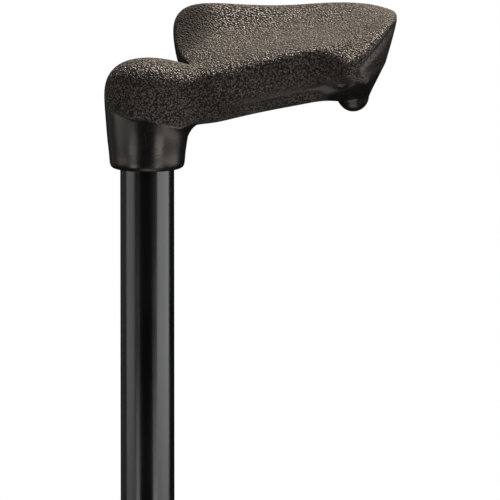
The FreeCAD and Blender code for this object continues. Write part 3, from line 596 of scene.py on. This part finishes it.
def grid_normals(skin):
    """Outward normals of a grid of points whose columns go round."""
    along = np.gradient(skin, axis=0)
    around = np.roll(skin, -1, axis=1) - np.roll(skin, 1, axis=1)
    normal = np.cross(along, around)
    normal /= np.maximum(np.linalg.norm(normal, axis=2, keepdims=True), 1e-9)
    middle = skin.mean(axis=1, keepdims=True)
    side = np.sign(((skin - middle) * normal).sum(axis=2).sum(axis=1))
    return normal * side[:, None, None]


def with_nub(points):
    """Draw the underside down into the nub with a smooth minimum of the two surfaces."""
    centre = np.array(NUB_CENTRE)
    reach = np.linalg.norm(points[:, :2] - centre[:2], axis=1)
    ball = centre[2] - np.sqrt(np.clip(NUB_RADIUS ** 2 - reach ** 2, 0, None))
    ball = np.where(reach < NUB_RADIUS, ball, centre[2] + NUB_OUTSIDE_SLOPE * (reach - NUB_RADIUS))
    under = points[:, 2] < centre[2] + NUB_ABOVE
    gap = np.clip(0.5 + 0.5 * (ball - points[:, 2]) / NUB_BLEND, 0, 1)
    joined = ball * (1 - gap) + points[:, 2] * gap - NUB_BLEND * gap * (1 - gap)
    points = points.copy()
    points[under, 2] = np.minimum(points[under, 2], joined[under])
    return points


def cut_pocket(piece, base):
    """Cut the round pocket of the handle screw into the collar, from the walker's side."""
    sides = 48
    turn = 2 * np.pi * np.arange(sides) / sides
    across = POCKET_RADIUS * np.cos(turn)
    height = SCREW_HEIGHT + POCKET_RADIUS * np.sin(turn)
    ring = np.stack([across, np.zeros(sides), height], axis=1)
    inner = ring + np.array((0, SCREW_SEAT, 0))
    outer = ring + np.array((0, COLLAR_RADIUS + 4, 0))
    points = np.concatenate([inner, outer]) * MM + np.array((0, 0, base))
    faces = grid_faces(2, sides) + [tuple(range(sides)), tuple(range(2 * sides - 1, sides - 1, -1))]
    mesh = mesh_of("pocket_cutter", points, faces, smooth=False)
    cutter = bpy.data.objects.new("pocket_cutter", mesh)
    bpy.context.scene.collection.objects.link(cutter)
    outward_faces(mesh)
    cut = piece.modifiers.new("pocket", "BOOLEAN")
    cut.object = cutter
    cut.solver = "EXACT"
    apply_modifiers(piece)
    bpy.data.objects.remove(cutter)


def outward_faces(mesh):
    work = bmesh.new()
    work.from_mesh(mesh)
    bmesh.ops.recalc_face_normals(work, faces=work.faces)
    work.to_mesh(mesh)
    work.free()


def apply_modifiers(piece):
    graph = bpy.context.evaluated_depsgraph_get()
    done = bpy.data.meshes.new_from_object(piece.evaluated_get(graph))
    piece.modifiers.clear()
    piece.data = done


def grip_rows(last):
    """Places of the mesh's rows along the ribs. The last one is left to the rear point."""
    elbow = np.linspace(*COLLAR_AND_ELBOW_ROWS, endpoint=False)
    palm = np.linspace(*PALM_ROWS, endpoint=False)
    end = np.linspace(PALM_ROWS[1], last, END_ROWS)
    return np.concatenate([elbow, palm, end])[:-1]


def grip_surface(poles, rows):
    """The skin with its lip, groove, seam and nub, as a grid of points."""
    skin = skin_points(poles, rows, np.arange(COLUMNS) * RIB_POINTS / COLUMNS)
    normal = grid_normals(skin).reshape(-1, 3)
    flat = skin.reshape(-1, 3)
    rise = LIP_HEIGHT * nearness(flat, path_on_skin(poles, LIP), LIP_WIDTH)
    rise -= GROOVE_DEPTH * nearness(flat, path_on_skin(poles, GROOVE), GROOVE_WIDTH)
    rise += SEAM_HEIGHT * nearness(flat, path_on_skin(poles, SEAM), SEAM_WIDTH)
    raised = flat + normal * rise[:, None]
    raised[:, 0] = np.minimum(raised[:, 0], END_REACH)
    return with_nub(raised).reshape(skin.shape)


def bore_rings():
    """Rings of the shaft's bore, from its deep end to its chamfered mouth."""
    angle = -2 * np.pi * np.arange(COLUMNS) / COLUMNS
    circle = np.stack([np.cos(angle), np.sin(angle), np.zeros(COLUMNS)], axis=1)
    mouth = circle * (BORE_RADIUS + BORE_CHAMFER)
    wall = circle * BORE_RADIUS + np.array((0, 0, BORE_CHAMFER))
    deep = circle * BORE_RADIUS + np.array((0, 0, BORE_DEPTH))
    return np.stack([deep, wall, mouth])


def write_layer(mesh, name, values):
    layer = mesh.attributes.new(name, "FLOAT", "POINT")
    layer.data.foreach_set("value", values.astype(np.float32))


def make_grip():
    """The moulded handle: one closed mesh of bore and skin, with the screw's pocket cut into it."""
    poles = grip_poles()
    last = len(poles) - 3
    rows = grip_rows(last)
    bore = bore_rings()
    rings = np.concatenate([bore, grip_surface(poles, rows)])
    faces = grid_faces(len(rings), COLUMNS)
    points = rings.reshape(-1, 3)
    rear = len(points)
    bore_end = rear + 1
    rim = rear - COLUMNS
    for column in range(COLUMNS):
        after = (column + 1) % COLUMNS
        faces.append((rim + column, rim + after, rear))
        faces.append((after, column, bore_end))
    points = np.concatenate([points, [REAR_POINT, (0, 0, BORE_DEPTH)]])
    rib = np.zeros(len(points))
    rib[len(bore) * COLUMNS:rear] = np.repeat(rows, COLUMNS)
    rib[rear] = last

    base = frame_height("grip")
    mesh = mesh_of("grip_skin", points * MM + np.array((0, 0, base)), faces)
    outward_faces(mesh)
    write_layer(mesh, "grain", grain_amount(points, rib))
    write_layer(mesh, "dull_and_painted_shade", dull_and_shade_amount(points))
    piece = bpy.data.objects.new("grip_skin", mesh)
    bpy.context.scene.collection.objects.link(piece)
    cut_pocket(piece, base)
    piece.data.shade_smooth()
    piece.data.set_sharp_from_angle(angle=SHARP_ANGLE)
    dress_piece(piece, "grip_mould", "shaft", ["grip"])


def frame_height(node):
    """Height of a CAD node's lowest point."""
    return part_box(node)[0][2]


# Welds on the hub ---------------------------------------------------------------------------------

# Sizes of the CAD hub and legs, in metres.
HUB_RADIUS = 14.3 * MM
LEG_RADIUS = 6.35 * MM
LEG_ROOT = 0.112
LEG_START = 0.010
LEG_SLOPE = math.radians(12)
# The bead: its radius, with a fine ripple and a slow swell.
BEAD_RADIUS = 1.55
BEAD_RIPPLE = 0.22
BEAD_SWELL = 0.12


def make_weld(end, side):
    """A bead round the joint of a leg and the hub sleeve, with the ripple that a weld has."""
    tip_low, tip_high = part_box("tip_%s_%s" % (end, side))
    foot = (Vector(tip_low) + Vector(tip_high)) / 2
    level = Vector((foot.x, foot.y, 0)).normalized()
    start = Vector((0, 0, LEG_ROOT)) + level * LEG_START
    arm = level * math.cos(LEG_SLOPE) - Vector((0, 0, math.sin(LEG_SLOPE)))
    across = Vector((0, 0, 1)).cross(level)
    up = arm.cross(across).normalized() * -1
    turns = 120
    sides = 12
    points = []
    for i in range(turns):
        angle = 2 * math.pi * i / turns
        rim = start + (up * math.cos(angle) + across * math.sin(angle)) * LEG_RADIUS
        # Where a line along the arm, through the rim, leaves the hub: the outer root of a quadratic.
        a = arm.x ** 2 + arm.y ** 2
        b = 2 * (rim.x * arm.x + rim.y * arm.y)
        c = rim.x ** 2 + rim.y ** 2 - HUB_RADIUS ** 2
        seat = rim + arm * ((-b + math.sqrt(b * b - 4 * a * c)) / (2 * a))
        off_hub = Vector((seat.x, seat.y, 0)).normalized()
        off_leg = (up * math.cos(angle) + across * math.sin(angle)).normalized()
        wave = BEAD_RIPPLE * math.sin(26 * angle) + BEAD_SWELL * math.sin(7 * angle + 1)
        size = (BEAD_RADIUS + wave) * MM
        for j in range(sides):
            turn = 2 * math.pi * j / sides
            points.append(seat + (off_hub * math.cos(turn) + off_leg * math.sin(turn)) * size)
    faces = grid_faces(turns, sides)
    bottom = (turns - 1) * sides
    for column in range(sides):
        after = (column + 1) % sides
        faces.append((bottom + column, bottom + after, after, column))
    name = "weld_%s_%s" % (end, side)
    piece = bpy.data.objects.new(name, mesh_of(name, points, faces))
    bpy.context.scene.collection.objects.link(piece)
    outward_faces(piece.data)
    dress_piece(piece, "base_steel", "base")


# Stage, light, camera -----------------------------------------------------------------------------

def make_stage():
    """A round pale floor under the tips."""
    sides = 160
    radius = 2.6
    points = []
    for i in range(sides):
        angle = 2 * math.pi * i / sides
        points.append((radius * math.cos(angle), radius * math.sin(angle), 0))
    mesh = mesh_of("floor", points, [tuple(range(sides))], smooth=False)
    floor = bpy.data.objects.new("floor", mesh)
    bpy.context.scene.collection.objects.link(floor)
    g = Graph("floor_paper", Roughness=0.7)
    g.shade("Base Color", g.mix(g.noise(1.5), colour(0.80, 0.80, 0.79), colour(0.84, 0.84, 0.83)))
    mesh.materials.append(g.material)
    floor.visible_glossy = False


def softbox(name, where, aim, width, height, radiance, tint=(1.0, 1.0, 1.0)):
    """A rectangular area light with a given brightness of its face."""
    data = bpy.data.lights.new(name, "AREA")
    data.shape = "RECTANGLE"
    data.size = width
    data.size_y = height
    data.energy = radiance * math.pi * width * height
    data.color = tint
    lamp = bpy.data.objects.new(name, data)
    lamp.location = where
    lamp.rotation_euler = (Vector(aim) - Vector(where)).to_track_quat("-Z", "Y").to_euler()
    lamp.visible_camera = False
    bpy.context.scene.collection.objects.link(lamp)


def beside(degrees, distance, height):
    """A point round the shaft: 0 degrees is towards the camera, and positive turns towards +X."""
    turn = math.radians(degrees)
    return (distance * math.sin(turn), -distance * math.cos(turn), height)


COOL = (0.97, 0.98, 1.0)
WARM = (1.0, 0.89, 0.78)


def make_lights():
    """Tall boxes for the tube, low ones for the collar, a warm one behind for the palm, and a dim ceiling."""
    axis_high = (0, 0, 1.2)
    axis_low = (0, 0, 0.24)
    softbox("box_left", beside(-79, 1.3, 1.2), axis_high, 1.0, 1.6, 1.4)
    softbox("back_left", beside(-124, 1.3, 1.2), axis_high, 0.9, 1.6, 0.15)
    softbox("box_right", beside(75, 1.3, 1.2), axis_high, 1.5, 1.6, 2.7, COOL)
    softbox("low_left", beside(-44, 1.3, 0.24), axis_low, 0.45, 0.4, 4.4)
    softbox("low_right", beside(36, 1.3, 0.24), axis_low, 0.5, 0.4, 4.6, COOL)
    softbox("low_front", (0.1, -0.45, 0.004), (0.1, -0.45, 1.0), 0.6, 0.8, 1.4)
    softbox("box_back", (0.22, 0.52, 1.42), (0.05, 0, 0.85), 0.45, 0.3, 29.0, WARM)
    softbox("overhead", (0, 0, 3.4), (0, 0.001, 0), 4.0, 4.0, 0.4)


def make_world():
    """White behind the object, and dim grey for what it lights and what reflects in it."""
    world = bpy.data.worlds.new("studio")
    bpy.context.scene.world = world
    world.use_nodes = True
    nodes = world.node_tree.nodes
    links = world.node_tree.links
    seen = nodes.new("ShaderNodeLightPath")
    white = nodes["Background"]
    white.inputs["Color"].default_value = colour(1, 1, 1)
    dim = nodes.new("ShaderNodeBackground")
    dim.inputs["Color"].default_value = colour(1, 1, 1)
    dim.inputs["Strength"].default_value = 0.008
    both = nodes.new("ShaderNodeMixShader")
    links.new(seen.outputs["Is Camera Ray"], both.inputs[0])
    links.new(dim.outputs[0], both.inputs[1])
    links.new(white.outputs[0], both.inputs[2])
    links.new(both.outputs[0], nodes["World Output"].inputs["Surface"])
    bpy.context.scene.view_settings.view_transform = "Standard"


def make_camera():
    """A long lens a little above the grip, framing it and the top of the shaft."""
    data = bpy.data.cameras.new("camera")
    camera = bpy.data.objects.new("camera", data)
    bpy.context.scene.collection.objects.link(camera)
    elevation = math.radians(8.0)
    distance = 6.0
    framed_width = 0.2352
    data.lens = data.sensor_width * distance / framed_width
    target = Vector((0.0483, 0, frame_height("grip") - 0.03895))
    back = Vector((0, -math.cos(elevation), math.sin(elevation)))
    camera.location = target + back * distance
    camera.rotation_euler = (-back).to_track_quat("-Z", "Y").to_euler()
    data.clip_start = 0.1
    data.clip_end = 200.0
    bpy.context.scene.camera = camera


make_camera()
dress_frame()
make_grip()
for end, side in PLACES:
    make_weld(end, side)
make_stage()
make_lights()
make_world()
